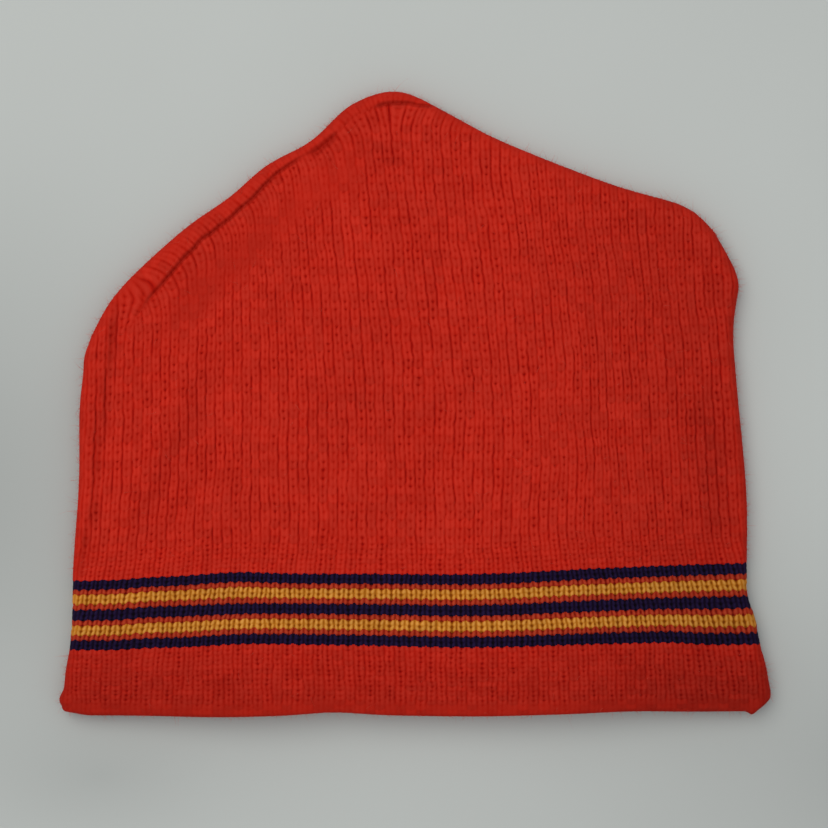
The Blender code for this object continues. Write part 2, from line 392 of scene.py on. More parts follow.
def slow_random(table, column, course, reach):
    """A random value for each column of stitches, which changes slowly along it, over about reach courses."""
    place = course / reach
    step = np.floor(place).astype(int)
    low, high = table[column % 128, step % 256], table[column % 128, (step + 1) % 256]
    return low + (high - low) * smoothstep(place - step)


def stitch_rows(aside, course):
    """The row of stitches a point belongs to. The legs of a stitch reach up past its centre, most of all
    where yellow yarn starts. The centre of a wale is at 0 and the next wale at 1."""
    size = TOOTH
    for start in YELLOW_STARTS:
        size = size + (YELLOW_TOOTH - TOOTH) * bell(course - start - YELLOW_TOOTH_OFFSET)
    return course - size * smoothstep(aside)


def stitch_relief(wale, course, rib, crease):
    """Height of the yarn in each stitch, from 0 in a pit to 1 on a crest, and that stitch's own shade. The
    height also sets the colour, with painted shade in the pits and a painted highlight on the crests.
    """
    column = np.floor(wale).astype(int)
    aside = np.abs(wale - column - 0.5) * 2
    rows = stitch_rows(aside, course)
    row = np.floor(rows).astype(int)
    along = rows - row
    striped = ((row >= 0) & (row < BAND_COURSES)).astype(float)
    own = [table[column % 128, row % 256] for table in STITCH_RANDOM[:4]]

    # Grooves between the wales and clefts along their centres open and close along each column
    groove = slow_random(STITCH_RANDOM[4], np.round(wale).astype(int), course, GROOVE_REACH)
    groove = smoothstep(groove * 2.1 - 0.65)
    groove = groove + (1 - groove) * crease
    cleft = smoothstep(slow_random(STITCH_RANDOM[5], column, course, CLEFT_REACH) * 1.7 - 0.4)
    groove = groove + 0.08 * rib * (1 - groove)

    # The two legs of a stitch stand over the floor at its centre and at its edges, and tuck in at its ends
    centre_floor = CENTRE_FLOOR + 0.10 * rib - (CLEFT_DEPTH - 0.06 * rib) * cleft
    centre_floor = centre_floor - STRIPE_CENTRE_DEPTH * striped
    edge_floor = EDGE_FLOOR - (GROOVE_DEPTH + RIB_GROOVE_DEPTH * rib) * groove
    edge_floor = edge_floor - STRIPE_EDGE_DEPTH * striped * (1 - groove)
    leg = np.sin(math.pi * np.clip(aside, 0, 1)) ** (0.85 + 0.25 * striped)
    floor = centre_floor + (edge_floor - centre_floor) * smoothstep(aside)
    height = floor + (1 - floor) * leg
    tuck = 1 - np.sin(math.pi * along) ** 0.6
    height = height * (1 - (TUCK_DEPTH - 0.10 * rib + 0.12 * striped) * tuck)

    # Small dark holes where stitches meet, at the centre and at the edge of a wale, some deep and some faint
    near_joint = np.minimum(along, 1 - along)
    strong = np.maximum(own[2] ** 1.5 * (0.5 + 0.5 * cleft), 0.8 * striped)
    pit = bell(aside / 0.32) * bell(near_joint / (0.24 - 0.05 * rib)) * (0.12 + 0.88 * strong)
    edge_pit = bell((1 - aside) / 0.26) * bell((along - 0.45) / 0.26) * own[3] ** 1.5 * (1 - 0.5 * groove)
    uneven = noises(wale * WALE, course * BODY_COURSE, UNEVENNESS)
    height = height * (1 + uneven) - PIT_DEPTH * pit - EDGE_PIT_DEPTH * edge_pit
    return np.clip(height, 0, 1), own[1]


# Creases: start, end, width, and how far the grooves between the wales close up there
CREASES = (
    ((-0.0655, 0.127), (-0.1025, 0.047), 0.0050, 1.0),
    ((-0.1020, 0.150), (-0.1094, 0.082), 0.0017, 1.0),
    ((-0.1085, 0.114), (-0.1112, 0.054), 0.0017, 1.0),
    ((-0.1092, 0.080), (-0.1185, 0.038), 0.0018, 0.9),
    ((0.0985, 0.118), (0.1075, 0.050), 0.0065, 1.0),
    ((-0.0130, 0.150), (-0.0130, 0.090), 0.0200, 0.3),
    ((-0.0215, 0.1995), (-0.0020, 0.1890), 0.0025, 1.0),
    ((-0.0370, 0.1915), (-0.0255, 0.2010), 0.0013, 1.0),
)


def crease_depth(x, level):
    """Where the cloth is creased, from 0 to 1."""
    depth = 0
    for start, end, width, weight in CREASES:
        depth = np.maximum(depth, weight * ridge(x, level, start, end, width))
    return depth


# Large soft differences in tone, which are painted shade. A negative tone is deeper in colour.
RIGHT_TONE = -1.0
RIGHT_TONE_FADE = (0.02, 0.09)
HEM_TONE = -1.3
HEM_TONE_FADE = (0.005, 0.03)
CORNER_TONE = -0.7
CORNER_TONE_HEIGHT = (0, 0.045)
CORNER_TONE_FADE = (0.04, 0.07)
CREASE_TONE = -0.8


def painted_shade(x, level):
    """Painted shade, which makes the hem, its corners, the creases and the right side deeper in colour."""
    tone = RIGHT_TONE * faded(x, RIGHT_TONE_FADE) + HEM_TONE * (1 - faded(level, HEM_TONE_FADE))
    tone += CORNER_TONE * (1 - faded(level, CORNER_TONE_HEIGHT)) * faded(np.abs(x), CORNER_TONE_FADE)
    return tone + CREASE_TONE * crease_depth(x, level)


# ---------------- shape of the fabric

PUFF = HIGH[2] - 2 * FOLD
PUFF_FADE = (0, 0.070)
INNER_FADE = (0, 0.012)
WRINKLE_FADE = (0, 0.004)
CREASE_DEPTH = 0.0013

# Soft wrinkles of the front: height, start, end and width. Three lie at the left, two by the crown's notch.
WRINKLES = (
    (0.0011, (-0.070, 0.104), (-0.100, 0.050), 0.0040),
    (0.0009, (-0.052, 0.098), (-0.084, 0.046), 0.0045),
    (-0.0010, (-0.060, 0.102), (-0.092, 0.048), 0.0035),
    (-0.0012, (-0.040, 0.190), (-0.026, 0.201), 0.0018),
    (0.0006, (-0.044, 0.186), (-0.060, 0.150), 0.0060),
)
FRONT_UNDULATION = ((0.00045, 0.034, 21), (0.00022, 0.013, 22))
BACK_UNDULATION = ((0.000135, 0.034, 31), (0.000066, 0.013, 32))
BACK_SLACK = 0.0002

# Crown seam: places across, and how far in from the edge of the crown it lies there, on the front where that
# is positive and on the back where it is negative. Next to it the wales fan out and meet it squarely.
SEAM_X = (-0.110, -0.095, -0.080, -0.058, -0.042, -0.026, -0.012, -0.004, 0.002, 0.007, 0.022, 0.060, 0.103)
SEAM_IN = (
    0.0112, 0.0098, 0.0072, 0.0057, 0.0036, 0.0046, 0.0047, 0.0044, 0.0027, 0, -0.0032, -0.0042, -0.0060
)
SEAM_ENDS = ((-0.110, -0.090), (0.104, 0.090))
SEAM_WANDER = ((0.0003, 0.0035, 51),)
SEAM_FAN = 0.0042
SEAM_FAN_AT_PEAK = (0.003, 0, 0.022)
SEAM_FAN_ROUNDING = 0.003

# The groove of the seam, which is faint on one stretch, and the dip and the hollow that lie further in
SEAM_SHOWN_FADE = (0, 0.001)
SEAM_FAINTNESS = 0.85
SEAM_FAINT_FROM = (-0.044, 0.005)
SEAM_FAINT_TO = (-0.0165, 0.004)
GROOVE_WIDTH = 0.0007
GROOVE_PRESS = 0.0015
DIP = (0.0005, 0.0050, 0.0030)
HOLLOW = (0.0009, 0.0125, 0.0065)
HOLLOW_LEAST = 0.3
HOLLOW_LEFT_FADE = (0.035, 0.03)
# Painted shade of the hollow and of the groove: how much deeper in colour each makes the knit
HOLLOW_TONE = -0.8
GROOVE_TONE = -1.2

# How the stitches flatten near the seam: a share of their height, and where it holds
SEAM_FLATTENS = (0.5, 0, 0.0012)
HOLLOW_FLATTENS = 0.75
HOLLOW_FLATTENS_FADE = (0.012, 0.010)
BEYOND_FLATTENS = 0.45
BEYOND_FADE = (0, 0.0008)

# How the stitches flatten towards each fold: the share of their height left there, and its fade
RIB_FADE = (RIB_START - 0.002, 0.004)
HEM_LEAST = 0.15
HEM_FADE = (0.0030, 0.0028)
HEM_INNER_FADE = (0.004, 0.003)
SIDE_LEAST = 0.25
SIDE_FADE = (0.0008, 0.0035)
CROWN_LEAST = 0.25
CROWN_FADE = (0.0010, 0.0045)
RELIEF_SHADING_POWER = 0.7

# The turned-in ply and the lining
CORNER_ROUNDS = 12
SMALLEST_FOLD = 0.0003
LINING_SPACING = SPACING * 1.5
LINING_INSET = 2 * PLY + 0.0002
LINING_START = 0.016
LINING_OVERLAP = 0.0006
LINING_CROWN_DROP = 0.018


# A grid of smooth fabric, with the place of each point among the stitches, and the same with stitches raised
Shell = namedtuple("Shell", "points wale course rib strength tone crease")
Knitted = namedtuple("Knitted", "points relief shade normal")


def between(first, last, shares):
    return first + (last - first) * shares


def rise_from(least, t, fade):
    """From least before the fade to 1 behind it."""
    return least + (1 - least) * faded(t, fade)


def arc_excess(distance, radius):
    """How much longer the way round a fold is than the flat distance from it, counted from its top."""
    reach = np.clip(distance, 0, radius)
    angle = np.arccos(1 - reach / radius)
    return (angle * radius - reach) - (math.pi / 2 - 1) * radius


def fold_height(distance, radius):
    reach = np.clip(distance, 0, radius)
    return np.sqrt(np.maximum(radius**2 - (radius - reach) ** 2, 0))


def fold_shares(length, both_ends):
    """Shares of a length from 0 to 1, in even steps of fabric round a fold at one or both ends."""
    steps = int(round(math.pi / 2 * FOLD / SPACING))
    near = FOLD * (1 - np.cos(np.linspace(0, math.pi / 2, steps + 1)))
    start = FOLD if both_ends else 0
    middle = np.linspace(start, length - FOLD, int((length - FOLD - start) / SPACING))
    first = near if both_ends else middle[:1]
    return np.concatenate((first, middle[1:-1], length - near[::-1])) / length


def puff(left_gap, right_gap, crown_gap):
    """How far the front lies above a hat pressed flat, at these distances from its edges."""
    return PUFF * faded(left_gap, PUFF_FADE) * faded(right_gap, PUFF_FADE) * faded(crown_gap, PUFF_FADE)


def front_folds(x, level):
    """The wrinkles and creases of the front."""
    height = sum(rise * ridge(x, level, start, end, width) for rise, start, end, width in WRINKLES)
    return height - CREASE_DEPTH * crease_depth(x, level)


def seam_share(x):
    """How strongly the crown seam shows: fully along the crown, and no longer at the shoulders."""
    share = 1.0
    for none, full in SEAM_ENDS:
        share = share * smoothstep((x - none) / (full - none))
    return share


def corner_y(side_x):
    """Where the line just above the hem's fold meets a side, found by coming closer in rounds."""
    y = HEM + PLY
    for _ in range(CORNER_ROUNDS):
        y = hem_y(side_x(y)) + PLY
    return y


def fill_outline(starts, ends, inset, bottom_y, top_y, across, up):
    """A flat grid between the hat's sides, moved in by inset, with columns and rows at the given shares.

    The sides run from their starts to their ends on Y. bottom_y and top_y give the two other lines."""
    left_y, right_y = between(starts[0], ends[0], up), between(starts[1], ends[1], up)
    left = np.column_stack((left_x(left_y) + inset, left_y))
    right = np.column_stack((right_x(right_y) - inset, right_y))
    bottom_x = between(left[0, 0], right[0, 0], across)
    bottom = np.column_stack((bottom_x, bottom_y(bottom_x)))
    top_x = between(left[-1, 0], right[-1, 0], across)
    top = np.column_stack((top_x, top_y(top_x)))
    top[0], top[-1] = left[-1], right[-1]
    u, v = across[None, :, None], up[:, None, None]
    flat = (1 - v) * bottom + v * top + (1 - u) * left[:, None] + u * right[:, None]
    return flat - (1 - v) * ((1 - u) * bottom[0] + u * bottom[-1]) - v * ((1 - u) * top[0] + u * top[-1])


def upper_grid():
    """The outer layer from just above the hem's fold to the edge of the crown, and its columns' shares."""
    across = fold_shares(RIGHT_X[0] - LEFT_X[0], both_ends=True)
    up = fold_shares(HIGH[1] - HEM, both_ends=False)
    corners = (corner_y(left_x), corner_y(right_x))
    return fill_outline(corners, SHOULDERS, 0, lambda x: hem_y(x) + PLY, crown_y, across, up), across


def side_gaps(x, y):
    """The distances from the left and from the right side, measured squarely to each."""
    lean_left = np.cos(np.arctan(np.interp(y, SIDE_Y[0], np.gradient(LEFT_X, SIDE_Y[0]))))
    lean_right = np.cos(np.arctan(np.interp(y, SIDE_Y[1], np.gradient(RIGHT_X, SIDE_Y[1]))))
    return (x - left_x(y)) * lean_left, (right_x(y) - x) * lean_right


def stitch_places(flat, distance, foot, inwards, gaps, seam_depth):
    """Wale and course of each point. Near the seam the wales turn to meet the crown squarely.

    The fabric beyond the seam comes over the edge from the other side, so its distance counts below zero, and
    its wales are off by half a stitch."""
    beyond = distance < seam_depth
    share = seam_share(foot[:, 0])
    reach = np.where(beyond, -distance, distance)
    fan = SEAM_FAN + bump(foot[:, 0], SEAM_FAN_AT_PEAK) + np.where(beyond, -seam_depth, seam_depth)
    kept = (reach + fan + np.sqrt((reach - fan) ** 2 + SEAM_FAN_ROUNDING**2)) / 2
    squared = foot + inwards * kept[:, None]
    base = flat + (squared - flat) * share[:, None]
    left_gap, right_gap = gaps
    level = base[:, 1] - HEM
    wale = wale_number(base[:, 0], level) + (arc_excess(left_gap, FOLD) - arc_excess(right_gap, FOLD)) / WALE
    course = course_number(base[:, 0], level) + (kept - reach) * share / BODY_COURSE
    return wale + beyond * share / 2, course


def seam_marks(x, foot_x, distance, seam_depth):
    """What the crown seam does: how far it presses the fabric in, what it leaves of the stitches' height, and
    the painted shade of its groove and hollow."""
    past = distance - seam_depth
    shown = faded(seam_depth, SEAM_SHOWN_FADE) * seam_share(foot_x)
    faint = faded(foot_x, SEAM_FAINT_FROM) * (1 - faded(foot_x, SEAM_FAINT_TO))
    groove = bell(past / GROOVE_WIDTH) * shown * (1 - SEAM_FAINTNESS * faint)
    hollow_depth, hollow_middle, hollow_width = HOLLOW
    full_hollow = bell((past - hollow_middle) / hollow_width) * shown
    hollow = full_hollow * rise_from(HOLLOW_LEAST, -x, HOLLOW_LEFT_FADE)
    pressed = GROOVE_PRESS * groove + bump(past, DIP) * shown + hollow_depth * hollow
    left = 1 - bump(past, SEAM_FLATTENS)
    left = left * (1 - HOLLOW_FLATTENS * full_hollow * faded(-x, HOLLOW_FLATTENS_FADE))
    left = left * (1 - BEYOND_FLATTENS * faded(-past, BEYOND_FADE) * shown)
    return pressed, left, HOLLOW_TONE * hollow * faded(-x, HOLLOW_LEFT_FADE) + GROOVE_TONE * groove


def outer_shell(half):
    """The outer layer of the front (half 1) or back (half -1), with the hem's fold and its inner ply."""
    grid, across = upper_grid()
    flat = grid.reshape(-1, 2)
    x, y = flat.T
    level = y - HEM
    distance, foot, inwards = nearest_on_crown(flat)
    gaps = side_gaps(x, y)
    side_gap = np.minimum(*gaps)
    nearest = np.minimum(side_gap, distance)
    seam_depth = half * (np.interp(foot[:, 0], SEAM_X, SEAM_IN) + noises(foot[:, 0], 0, SEAM_WANDER))
    wale, course = stitch_places(flat, distance, foot, inwards, gaps, seam_depth)
    pressed, left, seam_painted_shade = seam_marks(x, foot[:, 0], distance, seam_depth)

    shape = fold_height(nearest, FOLD) - pressed
    inner = faded(nearest, INNER_FADE)
    if half > 0:
        shape += puff(*gaps, distance) + front_folds(x, level) * faded(nearest, WRINKLE_FADE)
        shape += noises(x, y, FRONT_UNDULATION) * inner
        crease = crease_depth(x, level)
    else:
        shape += (noises(x, y, BACK_UNDULATION) - BACK_SLACK) * inner
        crease = 0 * x
    above_hem = y - hem_y(x)
    rib = faded(above_hem, RIB_FADE)
    strength = (RIB_RELIEF * rib + PLAIN_RELIEF * (1 - rib)) * left
    strength *= rise_from(HEM_LEAST, above_hem, HEM_FADE)
    strength *= rise_from(SIDE_LEAST, side_gap, SIDE_FADE)
    strength *= rise_from(CROWN_LEAST, distance, CROWN_FADE)
    # The tone is painted shade: on the hem, its corners, the creases, the right side and at the seam.
    tone = painted_shade(x, level) + seam_painted_shade

    points = np.column_stack((x, y, FOLD + half * shape))
    parts = (points, wale, course, rib, strength, tone, crease)
    upper = Shell(*(part.reshape(*grid.shape[:2], *part.shape[1:]) for part in parts))
    return Shell(*(np.concatenate(parts) for parts in zip(hem_rows(half, upper, across), upper)))


def hem_rows(half, upper, across):
    """The fold at the mouth and the inner ply behind the hem, from the ply's top down and round to the
    outside."""
    turn = np.linspace(0, math.pi, int(math.pi * PLY / SPACING) + 1)[1:]
    climb = np.arange(SPACING, LINING_START - PLY, SPACING)
    depths = np.concatenate((PLY * (1 - np.cos(turn)), np.full(len(climb), 2 * PLY)))
    rises = np.concatenate((PLY * (1 - np.sin(turn)), PLY + climb))
    ways = np.concatenate((PLY * (1 - turn), PLY * (1 - math.pi) - climb))
    lowest = PLY * (1 - math.pi / 2)

    edge_x, edge_y, edge_z = upper.points[0].T
    edge_gap = np.minimum(edge_x - edge_x[0], edge_x[-1] - edge_x)
    edge_shape = half * (edge_z - FOLD) - fold_height(edge_gap, FOLD)
    edge_undulation = noises(edge_x, edge_y, FRONT_UNDULATION)
    zero = np.zeros(len(edge_x))
    rows = []
    for depth, rise, way in zip(depths, rises, ways):
        low_x, high_x = edge_x[0] + depth, edge_x[-1] - depth
        x = between(low_x, high_x, across)
        y = hem_y(x) + rise
        gap = np.minimum(x - low_x, high_x - x)
        shape = edge_shape + fold_height(gap, max(FOLD - depth, SMALLEST_FOLD))
        if half > 0:
            shape += (noises(x, y, FRONT_UNDULATION) - edge_undulation) * faded(gap, INNER_FADE)
        strength = zero + PLAIN_RELIEF * rise_from(HEM_LEAST, abs(way - lowest), HEM_INNER_FADE)
        points = np.column_stack((x, y, FOLD + half * shape))
        course = upper.course[0] + (way - PLY) / COURSE
        rows.append((points, upper.wale[0], course, zero, strength, upper.tone[0], zero))
    return Shell(*(np.array(part)[::-1] for part in zip(*rows)))


def lining_shell(half):
    """The inner layer above the hem's inner ply, with its knit side facing the head."""
    start = HEM + LINING_START - LINING_OVERLAP
    across = np.linspace(0, 1, int((RIGHT_X[0] - LEFT_X[0]) / LINING_SPACING))
    up = np.linspace(0, 1, int((HIGH[1] - LINING_CROWN_DROP - start) / LINING_SPACING))
    ends = np.array(SHOULDERS) - LINING_CROWN_DROP
    bottom_and_top = (lambda x: start + 0 * x, lambda x: crown_y(x) - LINING_CROWN_DROP)
    flat = fill_outline((start, start), ends, LINING_INSET, *bottom_and_top, across, up)
    x, y = flat[..., 0], flat[..., 1]
    left_gap, right_gap = x - left_x(y), right_x(y) - x
    gap = np.minimum(left_gap, right_gap) - LINING_INSET
    shape = fold_height(gap, FOLD - LINING_INSET)
    if half > 0:
        shape = shape + puff(left_gap, right_gap, crown_y(x) - y)
        shape += noises(x, y, FRONT_UNDULATION) * faded(gap, INNER_FADE)
    points = np.dstack((x, y, FOLD + half * shape))
    wale, course = wale_number(x, y - HEM), -course_number(x, y - HEM)
    zero = np.zeros_like(x)
    return Shell(points[::-1], wale[::-1], course[::-1], zero, zero + PLAIN_RELIEF, zero, zero)


def surface_normals(points, facing):
    down = np.gradient(points, axis=0)
    over = np.gradient(points, axis=1)
    return unit(np.cross(over, down) * facing)


def knit(shell, facing):
    """Raises every stitch of a shell from its smooth surface."""
    relief, shade = stitch_relief(shell.wale, shell.course, shell.rib, shell.crease)
    normal = surface_normals(shell.points, facing)
    raised = shell.points + normal * ((relief - MEAN_RELIEF) * shell.strength)[..., None]
    clear = np.clip(shell.strength / PLAIN_RELIEF, 0, 1) ** RELIEF_SHADING_POWER
    # The shade holds each stitch's own random tone plus the painted shade of the shell's tone.
    return Knitted(raised, MEAN_RELIEF + (relief - MEAN_RELIEF) * clear, shade + shell.tone, normal)


# ---------------- meshes


def follow_joint(obj):
    """Bakes the piece's placement into its mesh."""
    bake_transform(obj)


def add_piece(name, points, faces, relief, shade, material, stands_for):
    """A visible piece from arrays, with its material, which hides the CAD nodes that it stands for and has
    its placement baked.
    """
    mesh = bpy.data.meshes.new(name)
    mesh.vertices.add(len(points))
    mesh.vertices.foreach_set("co", np.ascontiguousarray(points, np.float32).ravel())
    mesh.loops.add(faces.size)
    mesh.loops.foreach_set("vertex_index", np.ascontiguousarray(faces, np.int32).ravel())
    mesh.polygons.add(len(faces))
    mesh.polygons.foreach_set("loop_start", np.arange(0, faces.size, faces.shape[1], dtype=np.int32))
    mesh.polygons.foreach_set("use_smooth", np.ones(len(faces), bool))
    mesh.update(calc_edges=True)
    for key, values in (("relief", relief), ("shade", shade)):
        layer = mesh.attributes.new(key, "FLOAT", "POINT")
        layer.data.foreach_set("value", np.ascontiguousarray(values, np.float32).ravel())
    mesh.materials.append(material)
    obj = bpy.data.objects.new(name, mesh)
    bpy.context.scene.collection.objects.link(obj)
    if stands_for:
        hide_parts(*stands_for)
    follow_joint(obj)


def grid_faces(rows, columns, flip):
    corner = np.arange(rows * columns).reshape(rows, columns)
    a, b, c, d = corner[:-1, :-1], corner[:-1, 1:], corner[1:, 1:], corner[1:, :-1]
    order = (a, d, c, b) if flip else (a, b, c, d)
    return np.stack(order, axis=-1).reshape(-1, 4)


def tube_faces(rings, sides):
    """Faces of a tube that is open at both ends."""
    corner = np.arange(rings * sides).reshape(rings, sides)
    after = np.roll(corner, -1, axis=1)
    return np.stack((corner[:-1], after[:-1], after[1:], corner[1:]), axis=-1).reshape(-1, 4)


def cut_piece(cad_name, knitted, faces, materials, yarn):
    """One knitted piece: some faces of a shell."""
    used, renumbered = np.unique(faces, return_inverse=True)
    points, faces = knitted.points.reshape(-1, 3)[used], renumbered.reshape(-1, 4)
    relief, shade = knitted.relief.ravel()[used], knitted.shade.ravel()[used]
    add_piece(cad_name + "_knit", points, faces, relief, shade, materials[yarn], [cad_name])


def face_courses(shell, faces):
    """The stitch row that owns each face. V-shaped stitches give a colour change its teeth."""
    wale = shell.wale.ravel()[faces].mean(1)
    course = shell.course.ravel()[faces].mean(1)
    aside = np.abs(wale - np.floor(wale) - 0.5) * 2
    return np.floor(stitch_rows(aside, course))


def cut_outer_pieces(side, shell, knitted, materials):
    """The hem band, every stripe and the crown panel."""
    faces = grid_faces(*shell.wale.shape, side == "back")
    row = face_courses(shell, faces)
    cut_piece(side + "_hem_band", knitted, faces[row < 0], materials, "red")
    low = 0
    for name, count in STRIPES:
        yarn = name.split("_")[0]
        chosen = (row >= low) & (row < low + count)
        cut_piece(f"{side}_{name}", knitted, faces[chosen], materials, yarn)
        low += count
    cut_piece(side + "_crown_panel", knitted, faces[row >= BAND_COURSES], materials, "red")


def cut_lining(side, half, materials):
    shell = lining_shell(half)
    faces = grid_faces(*shell.wale.shape, side == "back")
    cut_piece(side + "_lining", knit(shell, half), faces, materials, "lining")


# ---------------- crown seams

# Raw edges and thread of the crown seams: distances in from the edge of the crown
SEAM_ALLOWANCE = (0.0032, 0.0070)
LINING_ALLOWANCE = (0.0082, 0.0116)
SEAM_MARGIN = 0.024
SEAM_STEP = 0.0006
RAW_EDGE_THICKNESS = 0.0011
RAW_EDGE_SIDES = 36
RAW_EDGE_ROUNDNESS = 0.5
RAW_EDGE_COURSE = -99
FRAY = ((0.0002, 0.0012, 41),)
FRAY_ROUND = 0.004

# Overlock thread. Gaps and the weave of its straight runs are in radii of the thread.
THREAD_RADIUS = 0.00018
THREAD_SIDES = 6
THREAD_RELIEF = 0.8
THREAD_SHADE = 0.5
OVERLOCK_PITCH = 0.0026
OVERLOCK_POINTS = 18
LOOP_GAP = 1.2
RUN_GAP = 2.4
RUN_WEAVE = 0.4
RUN_INSET = 0.0006


def resampled(places, at, columns):
    """The columns of values that are given at some places, at other places."""
    return np.column_stack([np.interp(places, at, column) for column in columns.T])


def crown_path():
    """Even steps along the crown's edge, without its ends: points and the way inwards at each."""
    line = np.column_stack((CROWN_X, CROWN_Y))
    length = np.concatenate(([0], np.cumsum(np.linalg.norm(np.diff(line, axis=0), axis=1))))
    places = np.arange(SEAM_MARGIN, length[-1] - SEAM_MARGIN, SEAM_STEP)
    inwards = [smoothed(part, SEAM_STEP) for part in resampled(places, length, CROWN_NORMAL).T]
    return resampled(places, length, line), unit(np.column_stack(inwards))


def softened(wave):
    """A wave between -1 and 1 with broader crests, which makes a rounded box of a circle."""
    return np.sign(wave) * np.abs(wave) ** RAW_EDGE_ROUNDNESS


def raw_edge_section(turns, depths, grow):
    """The rounded outline of two raw edges laid together: (distance in from the crown, height) at each
    turn."""
    half_width = (depths[1] - depths[0]) / 2 + grow
    half_height = RAW_EDGE_THICKNESS / 2 + grow
    middle = (depths[0] + depths[1]) / 2
    return middle + half_width * softened(np.cos(turns)), FOLD + half_height * softened(np.sin(turns))


def make_raw_edges(cad_name, depths, material):
    """The two raw edges of a seam, turned in and laid together, with their cut stitches."""
    line, inwards = crown_path()
    turns = np.linspace(0, 2 * math.pi, RAW_EDGE_SIDES, endpoint=False)[None, :]
    along = np.arange(len(line))[:, None] * SEAM_STEP
    across = raw_edge_section(turns + along * 0, depths, 0)[0]
    course = across / BODY_COURSE + RAW_EDGE_COURSE
    relief, shade = stitch_relief(along / WALE + across * 0, course, across * 0, 0)
    grow = (relief - 1) * PLAIN_RELIEF + noises(along, turns * FRAY_ROUND, FRAY)
    across, height = raw_edge_section(turns, depths, grow)
    flat = line[:, None] + inwards[:, None] * across[..., None]
    points = np.dstack((flat, height)).reshape(-1, 3)
    faces = tube_faces(len(line), RAW_EDGE_SIDES)
    add_piece(cad_name + "_raw_edges", points, faces, relief, shade, material, [cad_name])


def sweep(path, radius, sides):
    """A round thread along a path."""
    ahead = unit(np.gradient(path, axis=0))
    aside = unit(np.cross(ahead, (0.31, 0.17, 0.94)))
    up = np.cross(ahead, aside)
    turns = np.linspace(0, 2 * math.pi, sides, endpoint=False)[None, :, None]
    ring = np.cos(turns) * aside[:, None] + np.sin(turns) * up[:, None]
    return (path[:, None] + radius * ring).reshape(-1, 3)


def overlock_runs(length, depths):
    """The loops round the raw edges and the two straight runs that hold them down, each as shares of the
    seam's length, distances in from the crown and heights."""
    count = length / OVERLOCK_PITCH
    turns = np.linspace(0, 2 * math.pi * count, int(OVERLOCK_POINTS * count))
    runs = [(turns / turns[-1], *raw_edge_section(turns, depths, LOOP_GAP * THREAD_RADIUS))]
    share = np.linspace(0, 1, len(turns))
    weave = RUN_WEAVE * THREAD_RADIUS * np.cos(turns)
    for side in (-1, 1):
        height = FOLD + side * (RAW_EDGE_THICKNESS / 2 + RUN_GAP * THREAD_RADIUS) + weave
        runs.append((share, share * 0 + depths[0] + RUN_INSET, height))
    return runs


def make_seam_thread(cad_name, depths, material):
    """The overlock thread of a seam."""
    line, inwards = crown_path()
    steps = np.arange(len(line))
    points, faces = [], []
    for share, across, height in overlock_runs(steps[-1] * SEAM_STEP, depths):
        place = share * steps[-1]
        flat = resampled(place, steps, line) + resampled(place, steps, inwards) * across[:, None]
        path = np.column_stack((flat, height))
        faces.append(tube_faces(len(path), THREAD_SIDES) + sum(len(part) for part in points))
        points.append(sweep(path, THREAD_RADIUS, THREAD_SIDES))
    points, faces = np.concatenate(points), np.concatenate(faces)
    relief, shade = np.full(len(points), THREAD_RELIEF), np.full(len(points), THREAD_SHADE)
    add_piece(cad_name + "_overlock", points, faces, relief, shade, material, [cad_name])


def make_seams(materials):
    for layer, yarn, depths in (("crown", "red", SEAM_ALLOWANCE), ("lining", "lining", LINING_ALLOWANCE)):
        make_raw_edges(layer + "_seam_allowance", depths, materials[yarn])
        make_seam_thread(layer + "_seam_thread", depths, materials["thread"])


# ---------------- loose fibres

# The fibres lie almost level, so that the opening mouth doesn't draw them out into long upright hairs
FIBRE_POINTS = 6
FIBRE_SIDES = 3
FIBRE_WIDTH = 0.00008
FIBRE_LIFT = 0.2
FIBRE_CURL = 0.7
FIBRE_TAPER = 0.75
FIBRE_LEAST_RELIEF = 0.6
RIM_FACING = 0.45
RIM_FIBRES = 900
RIM_LENGTHS = (0.0006, 0.0026)
RIM_SCATTER = 0.9
DOUBLE_LENGTH_ABOVE = 0.96
FACE_FIBRES = 600
FACE_LENGTHS = (0.001, 0.004)
FACE_RISE = 0.25
FACE_SCATTER = 0.6


def grow_fibres(name, roots, ways, lengths, material):
    """Loose fibres: thin hairs that curl and taper, one from each root."""
    count = len(roots)
    share = np.linspace(0, 1, FIBRE_POINTS)[None, :, None]
    ways = unit(ways)
    bend = unit(RANDOM.normal(size=(count, 3)))
    path = lengths[:, None, None] * (ways[:, None] * share + FIBRE_CURL * bend[:, None] * share**2)
    path[..., 2] *= FIBRE_LIFT
    path += roots[:, None]
    path[..., 2] = np.maximum(path[..., 2], LOW[2] + 2 * FIBRE_WIDTH)
    aside = unit(np.cross(ways, bend))
    up = np.cross(aside, ways)
    turns = np.arange(FIBRE_SIDES)[None, None, :, None] * 2 * math.pi / FIBRE_SIDES
    ring = np.cos(turns) * aside[:, None, None] + np.sin(turns) * up[:, None, None]
    radius = FIBRE_WIDTH / 2 * (1 - FIBRE_TAPER * share)[..., None]
    points = (path[:, :, None] + radius * ring).reshape(-1, 3)
    size = FIBRE_POINTS * FIBRE_SIDES
    faces = tube_faces(FIBRE_POINTS, FIBRE_SIDES)[None] + np.arange(count)[:, None, None] * size
    shade = np.repeat(RANDOM.random(count), size)
    relief = between(FIBRE_LEAST_RELIEF, 1, shade)
    add_piece(name, points, faces.reshape(-1, 4), relief, shade, material, [])


def pick(mask, count):
    """Random places where a mask holds."""
    return RANDOM.choice(np.flatnonzero(mask.ravel()), count, replace=False)


